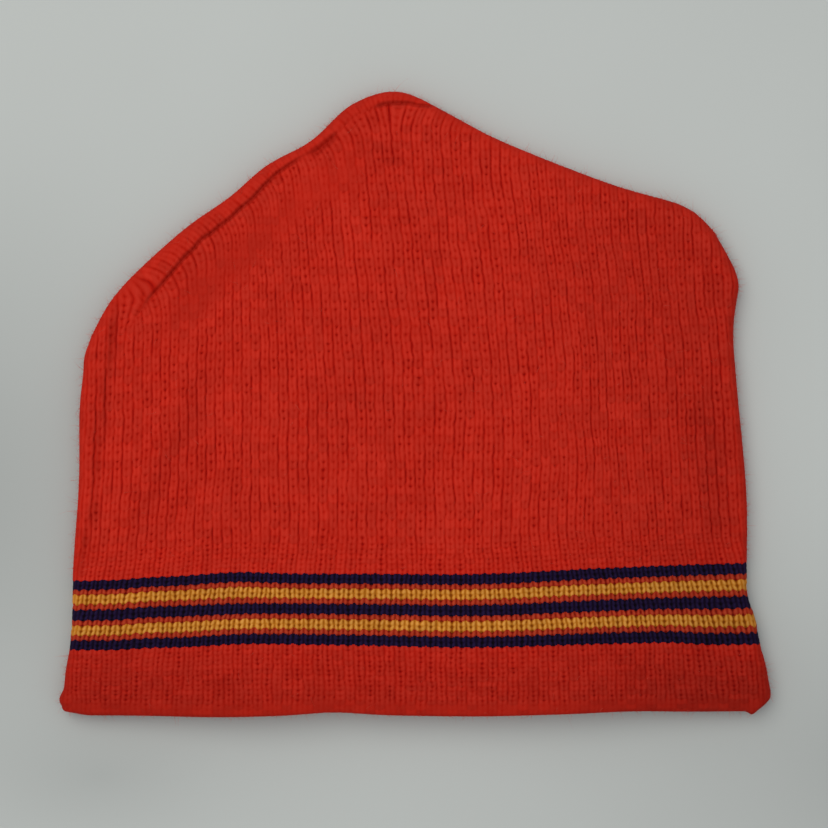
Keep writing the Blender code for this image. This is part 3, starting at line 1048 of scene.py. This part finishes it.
def make_fuzz(side, shell, knitted, material):
    """Fibres that stand off the fold all round the flat hat, and some that lie on the red knit."""
    points, normal = knitted.points.reshape(-1, 3), knitted.normal.reshape(-1, 3)
    rim = np.abs(normal[:, 2]) < RIM_FACING
    row = shell.course.ravel()
    red = (row < -1) | (row > BAND_COURSES + 1)
    rim_roots = pick(rim & red, RIM_FIBRES)
    face_roots = pick(~rim & red, FACE_FIBRES)
    ways = normal[rim_roots] + RIM_SCATTER * RANDOM.normal(size=(RIM_FIBRES, 3))
    lengths = RANDOM.uniform(*RIM_LENGTHS, RIM_FIBRES)
    lengths *= 1 + (RANDOM.random(RIM_FIBRES) > DOUBLE_LENGTH_ABOVE)
    grow_fibres(side + "_rim_fibres", points[rim_roots], ways, lengths, material)
    ways = FACE_RISE * normal[face_roots] + FACE_SCATTER * RANDOM.normal(size=(FACE_FIBRES, 3))
    lengths = RANDOM.uniform(*FACE_LENGTHS, FACE_FIBRES)
    grow_fibres(side + "_face_fibres", points[face_roots], ways, lengths, material)


# ---------------- materials

# Yarn colours: painted shade in the pits, the yarn's own colour, and a painted highlight on its crests
YARNS = {
    "red": ("red_yarn", (0.315, 0.002, 0.001), (0.463, 0.0105, 0.0033), (0.56, 0.026, 0.013)),
    "navy": ("navy_yarn", (0.003, 0.001, 0.003), (0.008, 0.0025, 0.017), (0.015, 0.008, 0.040)),
    "yellow": ("yellow_yarn", (0.23, 0.050, 0.001), (0.50, 0.165, 0.011), (0.70, 0.31, 0.06)),
    "orange": ("orange_yarn", (0.15, 0.003, 0.001), (0.36, 0.021, 0.006), (0.46, 0.052, 0.020)),
    "lining": ("lining_yarn", (0.20, 0.004, 0.002), (0.40, 0.012, 0.005), (0.46, 0.022, 0.011)),
    "thread": ("seam_thread_yarn", (0.20, 0.006, 0.004), (0.42, 0.014, 0.006), (0.50, 0.03, 0.015)),
    "fibre": ("fibre", (0.45, 0.03, 0.02), (0.58, 0.06, 0.035), (0.66, 0.11, 0.07)),
}
PIT_AT = 0.12
YARN_AT = 0.55
CREST_AT = 1.0

# Noises: (cycles per metre, detail, stretch). Spreads: (factor, offset).
RELIEF_NOISE = (900, 3, (1, 0.35, 1))
RELIEF_SPREAD = (0.30, -0.15)
PATCH_NOISE = (45, 2)
PATCH_SPREAD = (0.16, 0.92)
SHADE_SPREAD = (0.14, 0.93)
ROUGH_NOISE = (1500, 2)
ROUGH_SPREAD = (0.2, 0.78)
HAIR_NOISE = (2600, 4, (1, 0.4, 1))
HAIR_STRENGTH = 0.5
HAIR_HEIGHT = 0.00012
YARN_SURFACE = {"Specular IOR Level": 0.07, "Sheen Weight": 0.12, "Sheen Roughness": 0.5}

# Floor: its colours, and patches of painted shade for soft hollows in the cloth, which itself lies flat
# (centre, radii and how much darker the middle is)
FLOOR_SIZE = 6
FLOOR_GAP = 0.0004
FLOOR_COLOURS = ((0.53, 0.545, 0.52, 1), (0.57, 0.585, 0.56, 1))
FLOOR_NOISE = (9, 2)
FLOOR_SURFACE = {"Roughness": 0.95, "Specular IOR Level": 0.1}
FLOOR_SHADE_PATCHES = (
    ((-0.185, -0.030), (0.22, 0.20), 0.34),
    ((0.165, -0.125), (0.20, 0.14), 0.25),
    ((-0.110, -0.130), (0.10, 0.05), 0.14),
)


def new_material(name, settings):
    """A material, its node tree and its surface node with these settings."""
    material = bpy.data.materials.new(name)
    material.use_nodes = True
    surface = material.node_tree.nodes["Principled BSDF"]
    for key, value in settings.items():
        surface.inputs[key].default_value = value
    return material, material.node_tree, surface


def add_node(tree, kind, **values):
    node = tree.nodes.new(kind)
    for key, value in values.items():
        if key in node.inputs:
            node.inputs[key].default_value = value
        else:
            setattr(node, key, value)
    return node


def pattern(tree, mapping, kind, **values):
    """A pattern in object space."""
    place = add_node(tree, "ShaderNodeTexCoord")
    moved = add_node(tree, "ShaderNodeMapping", **mapping)
    texture = add_node(tree, kind, **values)
    tree.links.new(place.outputs["Object"], moved.inputs["Vector"])
    tree.links.new(moved.outputs["Vector"], texture.inputs["Vector"])
    return texture.outputs["Fac"]


def noise(tree, scale, detail, stretch=(1, 1, 1)):
    """Noise, in cycles per metre."""
    return pattern(tree, {"Scale": stretch}, "ShaderNodeTexNoise", Scale=scale, Detail=detail)


def combine(tree, operation, first, second):
    node = add_node(tree, "ShaderNodeMath", operation=operation)
    tree.links.new(first, node.inputs[0])
    tree.links.new(second, node.inputs[1])
    return node.outputs[0]


def spread(tree, value, factor, offset):
    """The value times the factor, plus the offset."""
    node = add_node(tree, "ShaderNodeMath", operation="MULTIPLY_ADD")
    tree.links.new(value, node.inputs[0])
    node.inputs[1].default_value = factor
    node.inputs[2].default_value = offset
    return node.outputs[0]


def scale_colour(tree, colour, share):
    node = add_node(tree, "ShaderNodeVectorMath", operation="SCALE")
    tree.links.new(colour, node.inputs[0])
    tree.links.new(share, node.inputs["Scale"])
    return node.outputs["Vector"]


def yarn_material(name, pit, base, crest_highlight):
    """Soft yarn: painted shade between the stitches and a painted highlight on the crests, with fine hairs
    and a faint sheen.
    """
    material, tree, surface = new_material(name, YARN_SURFACE)
    relief = add_node(tree, "ShaderNodeAttribute", attribute_name="relief")
    shade = add_node(tree, "ShaderNodeAttribute", attribute_name="shade")
    streaks = spread(tree, noise(tree, *RELIEF_NOISE), *RELIEF_SPREAD)
    # The ramp paints shade into the pits and a highlight onto the crests, by the height of the relief.
    ramp = add_node(tree, "ShaderNodeValToRGB")
    ramp.color_ramp.elements[0].position = PIT_AT
    ramp.color_ramp.elements[0].color = (*pit, 1)
    ramp.color_ramp.elements[1].position = CREST_AT
    ramp.color_ramp.elements[1].color = (*crest_highlight, 1)
    ramp.color_ramp.elements.new(YARN_AT).color = (*base, 1)
    tree.links.new(combine(tree, "ADD", relief.outputs["Fac"], streaks), ramp.inputs["Fac"])
    patch = spread(tree, noise(tree, *PATCH_NOISE), *PATCH_SPREAD)
    own = spread(tree, shade.outputs["Fac"], *SHADE_SPREAD)
    colour = scale_colour(tree, ramp.outputs["Color"], combine(tree, "MULTIPLY", patch, own))
    tree.links.new(colour, surface.inputs["Base Color"])
    rough = spread(tree, noise(tree, *ROUGH_NOISE), *ROUGH_SPREAD)
    tree.links.new(rough, surface.inputs["Roughness"])
    hairs = add_node(tree, "ShaderNodeBump", Strength=HAIR_STRENGTH, Distance=HAIR_HEIGHT)
    tree.links.new(noise(tree, *HAIR_NOISE), hairs.inputs["Height"])
    tree.links.new(hairs.outputs["Normal"], surface.inputs["Normal"])
    surface.inputs["Sheen Tint"].default_value = (*crest_highlight, 1)
    return material


def soft_patch(tree, centre, radii):
    """1 in the middle of a soft oval patch on the floor, 0 outside it."""
    mapping = {"vector_type": "TEXTURE", "Location": (*centre, 0), "Scale": (*radii, 1)}
    return pattern(tree, mapping, "ShaderNodeTexGradient", gradient_type="QUADRATIC_SPHERE")


def floor_material():
    """Pale cloth, with painted shade in a few soft patches round the hat."""
    material, tree, surface = new_material("pale_cloth_floor", FLOOR_SURFACE)
    ramp = add_node(tree, "ShaderNodeValToRGB")
    for element, colour in zip(ramp.color_ramp.elements, FLOOR_COLOURS):
        element.color = colour
    tree.links.new(noise(tree, *FLOOR_NOISE), ramp.inputs["Fac"])
    colour = ramp.outputs["Color"]
    # Each patch paints shade onto the floor.
    for centre, radii, depth in FLOOR_SHADE_PATCHES:
        colour = scale_colour(tree, colour, spread(tree, soft_patch(tree, centre, radii), -depth, 1))
    tree.links.new(colour, surface.inputs["Base Color"])
    return material


def make_materials():
    return {key: yarn_material(*colours) for key, colours in YARNS.items()}


# ---------------- floor, light and camera

SKY_COLOUR = (0.93, 0.97, 1.0, 1)
SKY_STRENGTH = 0.64
WINDOW_PLACE = (-0.48, 0.42, 1.15)
WINDOW_SIZE = 1.2
WINDOW_POWER = 6.4
WINDOW_COLOUR = (1.0, 0.97, 0.93)
CAMERA_PLACE = (-0.0004, -0.0040)
CAMERA_HEIGHT = 0.9
WIDTH_SEEN = 0.2873
SENSOR_WIDTH = 36


def place_floor():
    bpy.ops.mesh.primitive_plane_add(size=FLOOR_SIZE, location=(0, 0, LOW[2] - FLOOR_GAP))
    floor = bpy.context.object
    floor.name = "floor"
    floor.data.materials.append(floor_material())


def place_lights():
    """Soft light from all round, and a large window at the upper left."""
    world = bpy.data.worlds.new("soft_room")
    bpy.context.scene.world = world
    world.use_nodes = True
    sky = world.node_tree.nodes["Background"]
    sky.inputs["Color"].default_value = SKY_COLOUR
    sky.inputs["Strength"].default_value = SKY_STRENGTH
    lamp = bpy.data.lights.new("window", "AREA")
    lamp.shape = "DISK"
    lamp.size = WINDOW_SIZE
    lamp.energy = WINDOW_POWER
    lamp.color = WINDOW_COLOUR
    window = bpy.data.objects.new("window", lamp)
    window.location = WINDOW_PLACE
    window.rotation_euler = (-Vector(WINDOW_PLACE)).to_track_quat("-Z", "Y").to_euler()
    bpy.context.scene.collection.objects.link(window)


def place_camera():
    """Looks straight down at the hat."""
    data = bpy.data.cameras.new("camera")
    data.sensor_width = SENSOR_WIDTH
    data.lens = SENSOR_WIDTH * CAMERA_HEIGHT / WIDTH_SEEN
    camera = bpy.data.objects.new("camera", data)
    camera.location = (*CAMERA_PLACE, FOLD + CAMERA_HEIGHT)
    bpy.context.scene.collection.objects.link(camera)
    bpy.context.scene.camera = camera


# ---------------- the whole hat


def close_folds(front, back):
    """Gives the back the front's points along the two side folds and the crown, so that no gap shows."""
    upper = slice(-len(upper_grid()[0]), None)
    for edge in ((upper, 0), (upper, -1), (-1, slice(None))):
        back[edge] = front[edge]


def build():
    materials = make_materials()
    halves = {"front": 1, "back": -1}
    shells = {side: outer_shell(half) for side, half in halves.items()}
    knitted = {side: knit(shells[side], half) for side, half in halves.items()}
    close_folds(knitted["front"].points, knitted["back"].points)
    for side, half in halves.items():
        cut_outer_pieces(side, shells[side], knitted[side], materials)
        cut_lining(side, half, materials)
        make_fuzz(side, shells[side], knitted[side], materials["fibre"])
    make_seams(materials)
    place_floor()
    place_lights()
    place_camera()
    bpy.context.scene.view_settings.view_transform = "Standard"


build()
